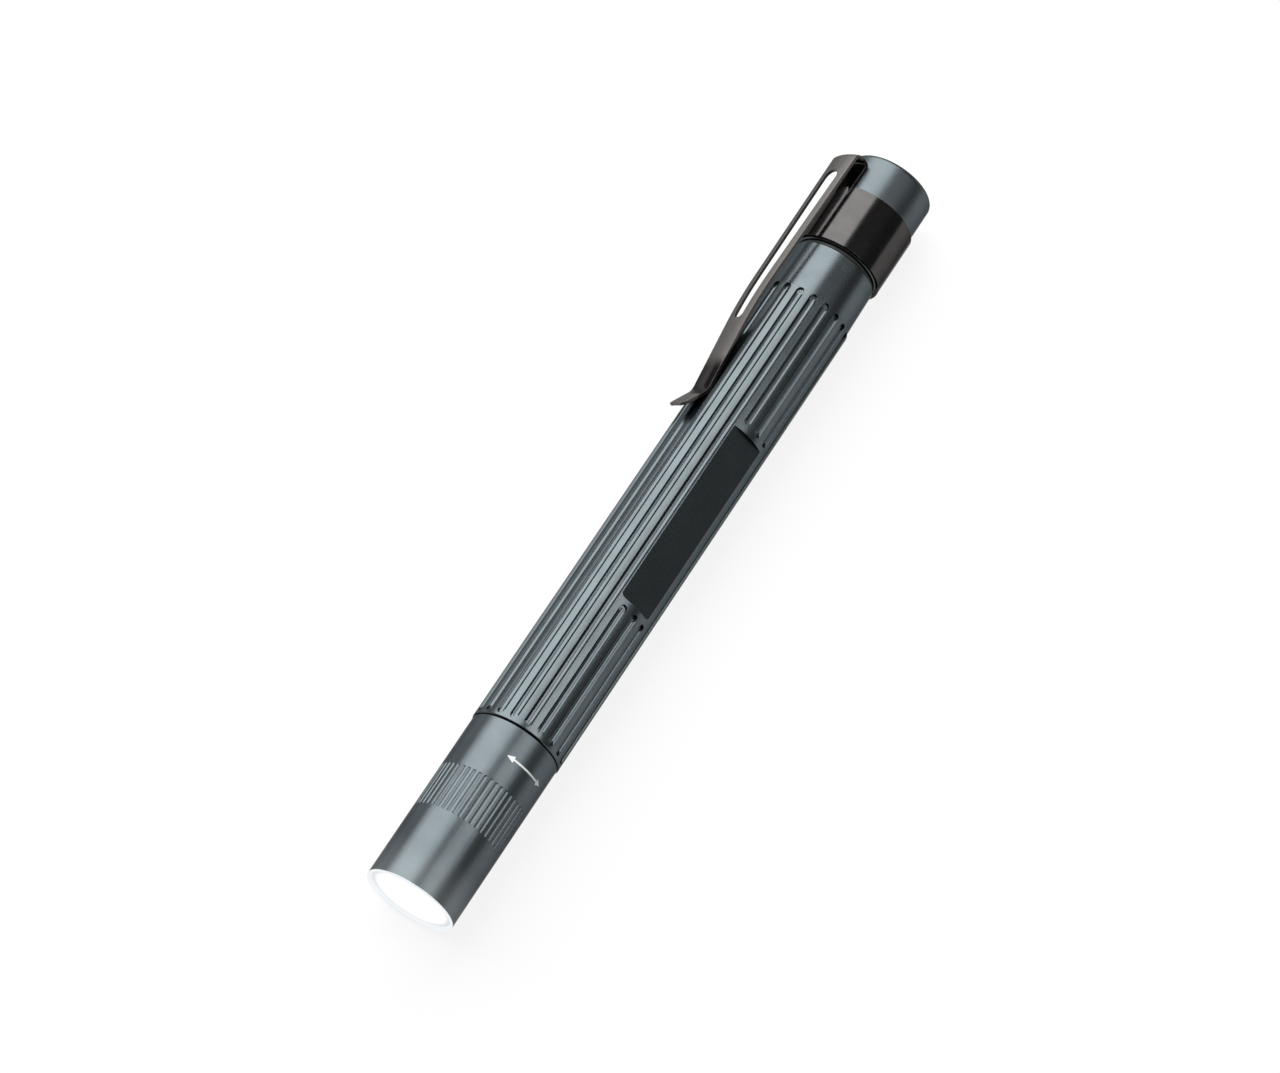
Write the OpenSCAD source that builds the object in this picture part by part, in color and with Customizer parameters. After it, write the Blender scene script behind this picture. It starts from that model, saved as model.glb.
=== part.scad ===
// Penlight with a twist-focus head, a screw-off tail cap and a sprung steel pocket clip.
// Millimetres. The axis is X: the tail face is at x = 0 and the beam leaves along +X.
// +Z is up as the light lies on a table, with the clip and the flat leaning to either side.

/* [Power] */
// Length of one AAA cell, over its button
cell_len = 44.5; // [42:0.5:47]
// How many cells lie end to end in the barrel
cell_count = 2; // [2:1:2]
// Diameter of the positive button of a cell
cell_button_d = 3.8; // [3:0.1:5]
// Height of the positive button of a cell
cell_button_h = 0.9; // [0.6:0.1:1.4]

/* [Barrel] */
// Outside diameter over the ribs of the barrel
crest_d = 15.56; // [15.2:0.02:17]
// Wall from the cell bore to the top of the ribs, which leaves 10.8 for AAA cells
rib_wall = 2.38; // [2.2:0.02:3]
// Wall between the cell bore and the outside of the two end necks
neck_wall = 0.8; // [0.7:0.05:0.95]
// How far the smooth collar lies below the ribs where it meets them
collar_front_step = 0.28; // [0.2:0.02:0.4]
// How far the smooth collar lies below the ribs at its tail end
collar_tail_step = 0.48; // [0.3:0.02:0.6]
// Length of the smooth collar
collar_len = 8.8; // [6:0.4:12]
// How many grooves run along the barrel
groove_count = 20; // [16:1:22]
// Radius of the round bottom of a groove
groove_r = 0.75; // [0.6:0.01:0.85]
// Depth of a groove
groove_depth = 0.48; // [0.3:0.01:0.6]
// Plain land between the grooves and the head seam
seam_land = 0.5; // [0.3:0.1:2]
// Length of the flat milled into the ribs
flat_len = 34.4; // [25:0.2:44]
// Distance from the head seam to the flat
flat_from_seam = 27; // [18:0.5:32]
// Depth of the flat below the ribs
flat_depth = 0.71; // [0.5:0.01:0.85]
// Rounding of the corners of the flat at its head end
flat_corner = 1; // [0.4:0.1:2]
// Plain land between the ends of the flat and the grooves that stop there
flat_land = 0.9; // [0.5:0.1:2]
// Lean of the flat from straight up, towards +Y
flat_lean = 44; // [20:1:70]
// Turn of the nearest groove from the middle of the flat
groove_turn = 5; // [0:1:17]
// Length of the plain pilot on the tail neck
pilot_len = 2.6; // [1.6:0.2:4]
// Length of the threaded stretch of the tail neck
thread_len = 5; // [4:0.2:7]
// Depth of the thread on the tail neck
thread_depth = 0.3; // [0.2:0.02:0.36]

/* [Head] */
// How far the focusing head lies below the ribs
head_step = 0.18; // [0.1:0.02:0.3]
// Length of the focusing head, from the seam to the front rim
head_len = 30.4; // [29.8:0.2:36]
// How far the head travels along the axis between flood and spot
focus_travel = 4; // [2:0.5:4.5]
// Length of the barrel nose that the head slides on
nose_len = 13.1; // [12.6:0.1:13.7]
// Wall of the head round its light chamber
head_wall = 0.8; // [0.7:0.05:0.85]
// Wall of the front rim round the lens
rim_wall = 0.5; // [0.4:0.05:0.7]
// How many fine grooves the finger grip has
grip_count = 48; // [36:1:54]
// Radius of a fine grip groove
grip_r = 0.34; // [0.28:0.02:0.4]
// Depth of a fine grip groove
grip_depth = 0.14; // [0.08:0.01:0.2]
// Length of the finger grip
grip_len = 7.8; // [5:0.2:8.4]
// Distance from the front rim to the finger grip
grip_from_front = 13; // [10:0.2:15]
// Section diameter of the seal inside the head
focus_seal_d = 0.86; // [0.7:0.02:0.9]
// Distance from the head seam to that seal
focus_seal_in = 4; // [3:0.1:6]

/* [Light engine] */
// Thickness of the lens at its edge
lens_edge = 1.6; // [1.2:0.1:2.2]
// How far the front of the lens bulges
lens_crown = 0.4; // [0.2:0.05:0.6]
// How far the edge of the lens sits behind the front rim
lens_set_back = 0.7; // [0.6:0.05:1]
// Depth of the light-gathering cone behind the edge of the lens
lens_cone = 7.8; // [7:0.1:8.2]
// Diameter of the cone at its open end
lens_mouth_d = 8.8; // [8.6:0.1:9.4]
// Diameter of the hollow that the emitter reaches into
lens_hollow_d = 6.8; // [6.6:0.1:7.2]
// Depth of that hollow
lens_hollow = 4.4; // [4:0.1:4.8]
// How far the floor of that hollow bulges back
lens_bulge = 0.8; // [0.4:0.1:1.2]
// Width of the ledge of the lens round its cone
lens_ledge = 0.8; // [0.6:0.05:1.1]
// Room between the emitter and the lens when the head is in
dome_room = 0.7; // [0.4:0.1:1.2]
// Thickness of the gasket behind the lens
gasket_t = 0.5; // [0.3:0.1:0.8]
// Thickness of the flange on the heat sink that stops the head
pill_flange_t = 1.4; // [1:0.1:2]
// Diameter of the post that carries the emitter
post_d = 6.2; // [5.6:0.1:6.4]
// Thickness of the emitter board
led_board_t = 1.2; // [0.8:0.1:1.4]
// Width of the square emitter base
led_w = 3.4; // [2.6:0.1:3.8]
// Height of the emitter base
led_h = 0.6; // [0.4:0.05:0.7]
// Diameter of the emitter dome
led_dome_d = 2.6; // [1.8:0.1:2.6]
// Thickness of the driver board
driver_board_t = 1.2; // [0.8:0.1:1.6]
// Depth of the pocket in the heat sink over the driver
driver_pocket = 4; // [3:0.2:6]
// How far the heat sink starts behind the head seam
pill_inset = 3.7; // [2:0.1:6]
// Diameter of one insulated emitter lead
lead_d = 0.9; // [0.6:0.1:1.1]
// Distance of each lead from the axis
lead_out = 1.7; // [1.5:0.1:1.9]
// Thickness of the guard round the contact spring
guard_t = 1.8; // [1.2:0.1:2.4]

/* [Springs] */
// Length of the tail spring when the cap is screwed home
tail_spring_len = 8.8; // [7.6:0.2:10]
// Wire of the tail spring
tail_wire_d = 0.7; // [0.5:0.05:0.8]
// How much narrower the tail spring is at the cell
tail_spring_taper = 1; // [0.4:0.1:1.4]
// Length of the contact spring on the driver board
driver_spring_len = 4; // [3.6:0.1:5]
// Wire of the contact spring on the driver board
driver_wire_d = 0.6; // [0.4:0.05:0.65]
// How far the contact spring stays inside the rim of the cell's button
driver_spring_inset = 0.2; // [0.1:0.05:0.4]
// How much wider the contact spring is at the driver board
driver_spring_taper = 0.6; // [0.3:0.1:0.9]
// Room round the contact spring inside its guard
driver_spring_room = 0.6; // [0.4:0.1:0.9]
// Wire of the spring under the tail button
button_wire_d = 0.5; // [0.35:0.05:0.5]

/* [Tail] */
// How far the bare end of the tail cap lies below the ribs
cap_step = 0.36; // [0.2:0.02:0.5]
// Length of the bare end of the tail cap
cap_end_len = 7.4; // [6:0.1:9]
// Rounding of the tail edge
cap_round = 0.9; // [0.4:0.1:1.4]
// Thickness of the end wall round the button
end_wall = 1.5; // [1.4:0.1:1.8]
// Width of the dark gap that holds the tail seal
seal_gap = 0.8; // [0.7:0.05:1]
// How far the button sits below the tail face
button_recess = 0.3; // [0.1:0.05:0.5]
// How far the button travels when it is pressed
button_travel = 1.2; // [0.8:0.1:1.4]
// Room round the flange that keeps the button in
flange_room = 0.5; // [0.2:0.05:0.8]
// How far that flange stands out from the button
flange_lip = 1.4; // [1:0.1:1.8]
// Thickness of that flange
button_flange_t = 0.8; // [0.6:0.1:1]
// Diameter of the plunger on the button
plunger_d = 3.2; // [2.6:0.1:3.4]
// Length of the switch housing
housing_len = 4.4; // [4.2:0.1:5]
// Wall of the switch housing round the return spring
housing_wall = 1.2; // [0.9:0.1:1.8]
// How far the snap dome stays clear of that wall
dome_margin = 2.4; // [1.8:0.1:3]
// Rise of the snap dome in the switch
dome_rise = 0.9; // [0.6:0.05:1]
// Thickness of the switch contact
contact_t = 0.6; // [0.4:0.1:0.8]
// Length of the ring that holds the switch in
ring_len = 1.6; // [1.2:0.1:2]
// Wall of that ring round the tail spring
ring_wall = 1.7; // [1.4:0.1:1.9]

/* [Pocket clip] */
// Thickness of the clip's steel sheet
sheet_t = 0.5; // [0.4:0.05:0.6]
// How far the clip's band stands proud of the tail cap
band_proud = 0.43; // [0.3:0.01:0.5]
// Width of the clip at the fold
clip_w = 5.7; // [5.2:0.1:6.6]
// Width of the clip at the tip of its lip
clip_tip_w = 3.9; // [3.4:0.1:5]
// Height of the outer face of the clip's arm above its band
arm_rise = 2.6; // [2.3:0.05:3.2]
// Distance from the tail face to the fold
fold_x = 2.5; // [1.5:0.1:3.4]
// Bend of the fold, in the middle of the sheet
fold_bend_r = 0.8; // [0.6:0.05:1]
// Where the arm starts to bend in towards the barrel
arm_bend_x = 29; // [24:0.5:32]
// Radius of that long bend
arm_bend_r = 83; // [60:1:90]
// Where the arm comes nearest to the barrel
touch_x = 50.8; // [47:0.2:54]
// Inner bend of the arm where it comes nearest
touch_r = 3; // [2:0.1:4]
// Slope of the lip beyond that
lip_slope = 25; // [15:1:35]
// Length of the lip
lip_len = 4.4; // [3.5:0.1:6]
// Width of the long slot at its tail end
slot_w = 3; // [2.2:0.1:3.4]
// Width of the long slot at its other end
slot_end_w = 1.9; // [1.2:0.1:2.2]
// Where the slot starts
slot_from = 6.4; // [5.4:0.1:8]
// Where the slot ends
slot_to = 37.6; // [20:0.2:42]
// Lean of the clip from straight up, towards -Y
clip_lean = 45; // [0:5:75]

/* [Clearances] */
// Radial clearance of what turns or slides on something round
run_fit = 0.05; // [0.02:0.01:0.08]
// Radial clearance of a seal and of what is pressed or screwed in for good
seat_fit = 0.02; // [0.01:0.01:0.03]
// Gap between faces that come together without touching
face_gap = 0.1; // [0.05:0.01:0.15]
// Gap between the clip's arm and the ribs where they come nearest
touch_gap = 0.15; // [0.1:0.01:0.3]
// Side clearance of a cell in the barrel
cell_fit = 0.15; // [0.1:0.01:0.2]
// Small chamfer on outside edges
edge = 0.15; // [0.05:0.01:0.2]

/* [Hidden] */
$fn = 96;

// Radii across the body
crest_r = crest_d / 2;
bore_r = crest_r - rib_wall;
cell_d = 2 * (bore_r - cell_fit);
neck_r = bore_r + neck_wall;
collar_front_d = crest_d - 2 * collar_front_step;
collar_tail_d = crest_d - 2 * collar_tail_step;
head_d = crest_d - 2 * head_step;
head_r = head_d / 2;
cap_d = crest_d - 2 * cap_step;
cap_r = cap_d / 2;
band_d = cap_d + 2 * band_proud;
arm_r = band_d / 2 + arm_rise;
thread_r = neck_r - thread_depth;
sleeve_bore_r = neck_r + run_fit;
chamber_r = head_r - head_wall;
lens_seat_r = head_r - rim_wall;
lens_r = lens_seat_r - seat_fit;
pill_r = bore_r - run_fit;
seat_r = band_d / 2 - sheet_t - run_fit;

// Places along the axis, from the tail face forward
over_travel = 0.6;
ring_gap = 0.6;
flange_x = end_wall + face_gap;
spring_seat_x = flange_x + button_flange_t;
housing_x = spring_seat_x + button_travel + over_travel;
contact_x = housing_x + housing_len;
ring_x = contact_x + contact_t;
neck_x = ring_x + ring_len + ring_gap;
collar_x = neck_x + thread_len + pilot_len;
cap_front_x = collar_x - seal_gap;
rib_x = collar_x + collar_len;
cells_x = ring_x + tail_spring_len;
cells_end_x = cells_x + cell_count * cell_len;
driver_x = cells_end_x + driver_spring_len;
pill_x = driver_x + driver_board_t;
seam_x = pill_x + pill_inset;
nose_x = seam_x + nose_len;
front_x = seam_x + head_len;
post_x = nose_x + pill_flange_t;
lens_front_x = front_x - lens_set_back;
lens_back_x = lens_front_x - lens_edge;
lens_mouth_x = lens_back_x - lens_cone;
lens_hollow_x = lens_mouth_x + lens_hollow;
led_x = lens_hollow_x - lens_bulge - dome_room - led_dome_d / 2 - led_h;
led_board_x = led_x - led_board_t;
gasket_x = lens_back_x - gasket_t;
stop_x = nose_x - focus_travel - face_gap;

// Seals
tail_seal_r = seal_gap / 2 - seat_fit;
tail_seal_x = collar_x - seal_gap / 2;
focus_seal_x = seam_x + focus_seal_in;
focus_groove_w = focus_seal_d + 0.24;
button_seal_d = 0.6;
button_seal_x = end_wall - 0.65;
button_groove_w = button_seal_d + 0.1;

// Inside the switch
button_flange_d = 2 * (neck_r - flange_room);
button_d = button_flange_d - 2 * flange_lip;
button_r = button_d / 2;
guide_r = plunger_d / 2 + 0.15;
guide_wall = 0.65;
pocket_r = neck_r - housing_wall;
pocket_floor_x = housing_x + 1.8;
switch_web = 0.8;
dome_r = pocket_r - dome_margin;
dome_t = 0.15;
plunger_end_x = contact_x - dome_rise - face_gap / 2 - button_travel;
ring_bore_r = neck_r - ring_wall;
spanner_w = 1.2;

// Through the fold of the clip, in the middle of its sheet
band_mid = (band_d - sheet_t) / 2;
tongue_mid = cap_r + run_fit + sheet_t / 2;
arm_mid = arm_r - sheet_t / 2;
fold_mid = (arm_mid + tongue_mid) / 2;

// Across the light engine
pill_flange_r = chamber_r - face_gap;
pocket_wall = 0.65;
lead_hole_r = lead_d / 2 + 0.1;
driver_board_r = pill_r - face_gap / 2;

// Radii of the tapered springs at the end that is held, and of the guard's bore
tail_spring_r = ring_bore_r - cell_fit - tail_wire_d / 2;
driver_spring_r = cell_button_d / 2 - driver_spring_inset + driver_spring_taper;
guard_bore_r = driver_spring_r + driver_wire_d / 2 + driver_spring_room;

// Turned profiles are lists of [x, r], and this revolves one about the axis
function swapped(points) = [for (p = points) [p[1], p[0]]];
module turned(points) {
    rotate([0, 90, 0]) rotate_extrude() polygon(swapped(points));
}

// A plain ring from x to x + len
module ring(x, len, r_in, r_out) {
    turned([[x, r_in], [x + len, r_in], [x + len, r_out], [x, r_out]]);
}

// A plain disc from x to x + len
module disc(x, len, r) {
    turned([[x, 0], [x + len, 0], [x + len, r], [x, r]]);
}

// A round seal about the axis
module seal(x, r_mid, section_r) {
    translate([x, 0, 0]) rotate([0, 90, 0]) rotate_extrude() translate([r_mid, 0]) circle(section_r);
}

// A section drawn across the axis, with its own y upwards, drawn out from x to x + len
module drawn_out(x, len) {
    translate([x, 0, 0]) rotate([90, 0, 90]) linear_extrude(len) children();
}

// Points along an arc about [cx, cr], with both of its ends
function arc(cx, cr, r, from, to, steps) =
    [for (i = [0:steps]) let (a = from + (to - from) * i / steps) [cx + r * cos(a), cr + r * sin(a)]];

// A coil spring: one unbroken wire of six sides, with eight rings to each curl
CURL_RINGS = 8;
WIRE_SIDES = 6;
function coil_line(x0, x1, r0, r1, wire_d, curls) =
    let (last = curls * CURL_RINGS)
    [for (i = [0:last])
        let (t = i / last, a = 360 * curls * t, r = r0 + (r1 - r0) * t)
        [x0 + wire_d / 2 + (x1 - x0 - wire_d) * t, r * cos(a), r * sin(a)]];
function coil_gap(line, wire_d) =
    let (near = CURL_RINGS * 3 / 4, last = len(line) - 1)
    min([for (i = [0:last]) for (k = [i + near:1:last]) norm(line[i] - line[k])]) - wire_d;
module coil(name, x0, x1, r0, r1, wire_d, curls) {
    line = coil_line(x0, x1, r0, r1, wire_d, curls);
    last = len(line) - 1;
    echo(str(name, " least gap ", coil_gap(line, wire_d)));
    rings = [for (i = [0:last]) for (s = [0:WIRE_SIDES - 1])
        let (out = [0, line[i][1], line[i][2]] / norm([line[i][1], line[i][2]]), b = 360 * s / WIRE_SIDES)
        line[i] + wire_d / 2 * (cos(b) * out + sin(b) * [1, 0, 0])];
    sides = [for (i = [0:last - 1]) for (s = [0:WIRE_SIDES - 1])
        let (a = i * WIRE_SIDES + s, b = i * WIRE_SIDES + (s + 1) % WIRE_SIDES)
        each [[a, b, a + WIRE_SIDES], [b, b + WIRE_SIDES, a + WIRE_SIDES]]];
    tail_end = [for (s = [1:WIRE_SIDES - 2]) [0, s + 1, s]];
    end = last * WIRE_SIDES;
    head_end = [for (s = [1:WIRE_SIDES - 2]) [end, end + s, end + s + 1]];
    polyhedron(rings, concat(sides, tail_end, head_end));
}

// One groove along the top of the barrel from x0 to x1, with a round bottom and round ends
groove_half = sqrt(pow(groove_r, 2) - pow(groove_r - groove_depth, 2));
module groove(x0, x1) {
    end_r = groove_half - face_gap;
    end_depth = groove_depth - face_gap / 2;
    from = x0 + end_r;
    to = x1 - end_r;
    drawn_out(from, to - from) translate([0, crest_r - groove_depth + groove_r]) circle(groove_r);
    for (x = [from, to]) translate([x, 0, crest_r - end_depth]) cylinder(h = groove_r, r = end_r, $fn = 32);
}

// Ribbed barrel tube: tail neck, collar, ribs with the milled flat, and the nose under the head
module barrel() {
    groove_x = rib_x + collar_front_step / 2;
    groove_to = seam_x - seam_land;
    flat_head_x = seam_x - flat_from_seam;
    flat_tail_x = flat_head_x - flat_len;
    flat_half = acos((crest_r - flat_depth) / crest_r);
    flat_side = crest_r * sin(flat_half) + face_gap;
    corner_x = flat_head_x - flat_corner;
    corner_y = flat_side - flat_corner;
    color([0.36, 0.42, 0.44])
    difference() {
        turned([
            [neck_x, bore_r], [neck_x, thread_r - edge], [neck_x + edge, thread_r],
            [collar_x - pilot_len, thread_r], [collar_x - pilot_len, neck_r],
            [collar_x, neck_r], [collar_x, collar_tail_d / 2 - edge],
            [collar_x + edge, collar_tail_d / 2], [rib_x, collar_front_d / 2],
            [rib_x + collar_front_step / 2, crest_r], [seam_x - edge, crest_r],
            [seam_x, crest_r - edge], [seam_x, neck_r],
            [nose_x - edge, neck_r], [nose_x, neck_r - edge], [nose_x, bore_r]
        ]);
        for (i = [0:groove_count - 1]) {
            turn = groove_turn + 360 * i / groove_count;
            across = min(turn, 360 - turn);
            rotate([-flat_lean - turn, 0, 0])
                if (across < flat_half) {
                    groove(groove_x, flat_tail_x - flat_land);
                    groove(flat_head_x + flat_land, groove_to);
                } else
                    groove(groove_x, groove_to);
        }
        rotate([-flat_lean, 0, 0])
            translate([0, 0, crest_r - flat_depth]) linear_extrude(crest_r) polygon(concat(
                [[flat_tail_x, flat_side], [flat_tail_x, -flat_side]],
                arc(corner_x, -corner_y, flat_corner, 270, 360, 5),
                arc(corner_x, corner_y, flat_corner, 0, 90, 5)
            ));
    }
}

// Black seal that shows in the gap between the collar and the clip's band
module tail_oring() {
    color([0.06, 0.06, 0.06])
        seal(tail_seal_x, neck_r + seat_fit + tail_seal_r, tail_seal_r);
}

// Friction seal that rides in the head and drags on the nose
module focus_oring() {
    color([0.06, 0.06, 0.06])
        seal(focus_seal_x, neck_r + seat_fit + focus_seal_d / 2, focus_seal_d / 2);
}

// Turning head with its finger grip, seal groove, stop shoulder and lens seat
module head_sleeve() {
    back_x = seam_x + face_gap;
    groove_out_r = neck_r + focus_seal_d + 2 * seat_fit;
    grip_x = front_x - grip_from_front - grip_len;
    rim_chamfer = rim_wall * 0.4;
    color([0.38, 0.44, 0.46])
    difference() {
        turned([
            [back_x, sleeve_bore_r], [back_x, head_r - edge], [back_x + edge, head_r],
            [front_x - edge, head_r], [front_x, head_r - edge],
            [front_x, lens_seat_r + rim_chamfer], [front_x - rim_chamfer, lens_seat_r],
            [gasket_x, lens_seat_r], [gasket_x, chamber_r], [stop_x, chamber_r], [stop_x, sleeve_bore_r]
        ]);
        ring(focus_seal_x - focus_groove_w / 2, focus_groove_w, neck_r, groove_out_r);
        for (i = [0:grip_count - 1])
            rotate([360 * i / grip_count, 0, 0])
                translate([grip_x, 0, head_r - grip_depth + grip_r])
                    rotate([0, 90, 0]) cylinder(h = grip_len, r = grip_r, $fn = 24);
    }
}

// Clear lens: a crowned face on a cone that gathers the light, hollow where the emitter reaches in
module lens() {
    cone_r = lens_seat_r - lens_ledge;
    mouth_r = lens_mouth_d / 2;
    steps = 8;
    crown_r = (pow(lens_r, 2) + pow(lens_crown, 2)) / (2 * lens_crown);
    crown_a = asin(lens_r / crown_r);
    hollow_r = lens_hollow_d / 2;
    bulge_r = (pow(hollow_r, 2) + pow(lens_bulge, 2)) / (2 * lens_bulge);
    bulge_a = asin(hollow_r / bulge_r);
    color([0.95, 0.97, 1, 0.6])
    turned(concat(
        arc(lens_front_x + lens_crown - crown_r, 0, crown_r, 0, crown_a, steps),
        [[lens_back_x, lens_r]],
        [for (i = [0:steps]) let (t = i / steps)
            [lens_back_x - lens_cone * t, cone_r - (cone_r - mouth_r) * pow(t, 1.5)]],
        [[lens_mouth_x, hollow_r]],
        arc(lens_hollow_x - lens_bulge + bulge_r, 0, bulge_r, 180 - bulge_a, 180, steps)
    ));
}

// Flat gasket between the lens and its seat
module lens_gasket() {
    color([0.08, 0.08, 0.08]) ring(gasket_x, gasket_t, chamber_r - 0.3, lens_r);
}

// Heat sink screwed into the nose: driver pocket, stop flange and the post under the emitter
module led_pill() {
    floor_x = pill_x + driver_pocket;
    color([0.78, 0.66, 0.36])
    difference() {
        turned([
            [pill_x, pill_r - pocket_wall], [pill_x, pill_r], [nose_x, pill_r], [nose_x, pill_flange_r],
            [post_x, pill_flange_r], [post_x, post_d / 2], [led_board_x, post_d / 2],
            [led_board_x, 0], [floor_x, 0], [floor_x, pill_r - pocket_wall]
        ]);
        for (side = [-1, 1])
            translate([floor_x - 1, side * lead_out, 0])
                rotate([0, 90, 0]) cylinder(h = led_board_x - floor_x + 2, r = lead_hole_r, $fn = 32);
    }
}

// Round metal-backed board under the emitter
module led_board() {
    color([0.92, 0.93, 0.9]) disc(led_board_x, led_board_t, post_d / 2 - face_gap);
}

// Square emitter base with its bevelled corners
module led_emitter() {
    corner = 0.35;
    half = led_w / 2;
    color([0.85, 0.83, 0.7])
    drawn_out(led_x, led_h)
        polygon([
            [-half + corner, -half], [half - corner, -half], [half, -half + corner], [half, half - corner],
            [half - corner, half], [-half + corner, half], [-half, half - corner], [-half, -half + corner]
        ]);
}

// Clear dome on the emitter
module led_dome() {
    steps = 10;
    top_x = led_x + led_h;
    color([1, 0.92, 0.45, 0.8]) turned(concat([[top_x, 0]], arc(top_x, 0, led_dome_d / 2, 90, 0, steps)));
}

// Two insulated leads through the heat sink, from the driver to the emitter board
module led_leads() {
    color([0.7, 0.12, 0.1])
    for (side = [-1, 1])
        translate([pill_x, side * lead_out, 0])
            rotate([0, 90, 0]) cylinder(h = led_board_x - pill_x, r = lead_d / 2, $fn = 24);
}

// Driver board against the back of the heat sink
module driver_board() {
    color([0.1, 0.35, 0.2]) disc(driver_x, driver_board_t, driver_board_r);
}

// Controller, choke and capacitors on the front of the driver board
module driver_components() {
    chip = [1.1, 3, 2];
    cap = [1, 1, 1.25];
    choke_r = 1.2;
    choke_h = 1.6;
    clear = lead_hole_r + 0.4;
    color([0.12, 0.12, 0.13]) {
        translate([pill_x, -chip[1] / 2, clear]) cube(chip);
        translate([pill_x, 0, -clear - choke_r])
            rotate([0, 90, 0]) cylinder(h = choke_h, r = choke_r, $fn = 32);
        for (side = [-1, 1])
            translate([pill_x, side * (choke_r + 0.75) - cap[1] / 2, -clear - cap[2]]) cube(cap);
    }
}

// Plastic guard that keeps a cell put in backwards off the contact spring
module driver_insulator() {
    color([0.15, 0.15, 0.16]) ring(driver_x - guard_t, guard_t, guard_bore_r, driver_board_r);
}

// Contact spring soldered to the driver board
module driver_spring() {
    color([0.85, 0.7, 0.35])
        coil("driver_spring", cells_end_x, driver_x, driver_spring_r - driver_spring_taper, driver_spring_r,
            driver_wire_d, 3);
}

// One cell with its rear face at x: rolled rear edge, shoulder and positive button
module cell(x) {
    r = cell_d / 2;
    shoulder = 0.5;
    can_x = x + cell_len - cell_button_h;
    turned([
        [x, 0], [x, r - shoulder], [x + shoulder, r], [can_x - shoulder, r], [can_x, r - shoulder],
        [can_x, cell_button_d / 2], [x + cell_len, cell_button_d / 2], [x + cell_len, 0]
    ]);
}

// Cell nearest the head
module cell_front() {
    color([0.75, 0.76, 0.78]) cell(cells_x + (cell_count - 1) * cell_len);
}

// Cell nearest the tail
module cell_rear() {
    color([0.75, 0.76, 0.78]) cell(cells_x);
}

// Middle line of the clip's sheet, from under the band, round the fold and along the arm to the lip
function clip_line() =
    let (
        fold_cx = fold_x + sheet_t / 2 + fold_bend_r,
        joggle = 1.6,
        touch_mid = crest_r + touch_gap + sheet_t / 2,
        upper = [arm_bend_x, arm_mid - arm_bend_r],
        lower = [touch_x, touch_mid + touch_r],
        apart = lower - upper,
        tangent = atan2(apart[1], apart[0]) + acos((arm_bend_r + touch_r) / norm(apart)),
        lip_start = arc(lower[0], lower[1], touch_r, tangent - 180, lip_slope - 90, 6)
    )
    concat(
        [[cap_end_len + 2 * joggle + 0.4, band_mid]],
        [for (i = [0:6]) let (t = i / 6)
            [cap_end_len + face_gap + joggle * (1 - t),
             band_mid + (tongue_mid - band_mid) * (1 - cos(180 * t)) / 2]],
        arc(fold_cx, tongue_mid + fold_bend_r, fold_bend_r, 270, 180, 7),
        arc(fold_cx, arm_mid - fold_bend_r, fold_bend_r, 180, 90, 7),
        arc(upper[0], upper[1], arm_bend_r, 90, tangent, 6),
        lip_start,
        [lip_start[6] + lip_len * [cos(lip_slope), sin(lip_slope)]]
    );

// The same line given the thickness of the sheet, as one closed outline
function sheet_outline(line, t) =
    let (
        last = len(line) - 1,
        sides = [for (i = [0:last])
            let (run = line[min(i + 1, last)] - line[max(i - 1, 0)])
            [-run[1], run[0]] / norm(run)]
    )
    concat(
        [for (i = [0:last]) line[i] + sides[i] * t / 2],
        [for (i = [last:-1:0]) line[i] - sides[i] * t / 2]
    );

// Pocket clip: one piece of spring steel, with a closed band, a tongue, a fold and a slotted arm
module pocket_clip() {
    band_x = cap_end_len + face_gap / 2;
    line = clip_line();
    tip_x = line[len(line) - 1][0] + sheet_t;
    tip_r = clip_tip_w / 2;
    high = arm_r + lip_len;
    color([0.16, 0.15, 0.15])
    rotate([clip_lean, 0, 0]) {
        ring(band_x, cap_front_x - face_gap - band_x, seat_r + run_fit, band_d / 2);
        difference() {
            intersection() {
                turned(sheet_outline(line, sheet_t));
                linear_extrude(high) {
                    polygon([
                        [0, -clip_w / 2], [0, clip_w / 2],
                        [tip_x - tip_r, tip_r], [tip_x - tip_r, -tip_r]
                    ]);
                    translate([tip_x - tip_r, 0]) circle(tip_r);
                }
            }
            translate([0, 0, fold_mid]) linear_extrude(high) {
                polygon([
                    [slot_from + slot_w / 2, -slot_w / 2], [slot_from + slot_w / 2, slot_w / 2],
                    [slot_to - slot_end_w / 2, slot_end_w / 2], [slot_to - slot_end_w / 2, -slot_end_w / 2]
                ]);
                translate([slot_from + slot_w / 2, 0]) circle(slot_w / 2);
                translate([slot_to - slot_end_w / 2, 0]) circle(slot_end_w / 2);
            }
        }
    }
}

// Tail cap: rounded end, button hole with its seal groove, and the seat for the clip's band
module tail_cap() {
    hole_r = button_r + run_fit;
    hole_chamfer = 0.25;
    color([0.36, 0.42, 0.44])
    difference() {
        turned(concat(
            [[hole_chamfer, hole_r], [0, hole_r + hole_chamfer]],
            arc(cap_round, cap_r - cap_round, cap_round, 180, 90, 8),
            [
                [cap_end_len, cap_r], [cap_end_len, seat_r], [cap_front_x - edge, seat_r],
                [cap_front_x, seat_r - edge], [cap_front_x, sleeve_bore_r],
                [end_wall, sleeve_bore_r], [end_wall, hole_r]
            ]
        ));
        ring(button_seal_x - button_groove_w / 2, button_groove_w, hole_r - 1,
            button_r + button_seal_d + 2 * seat_fit);
    }
}

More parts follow.
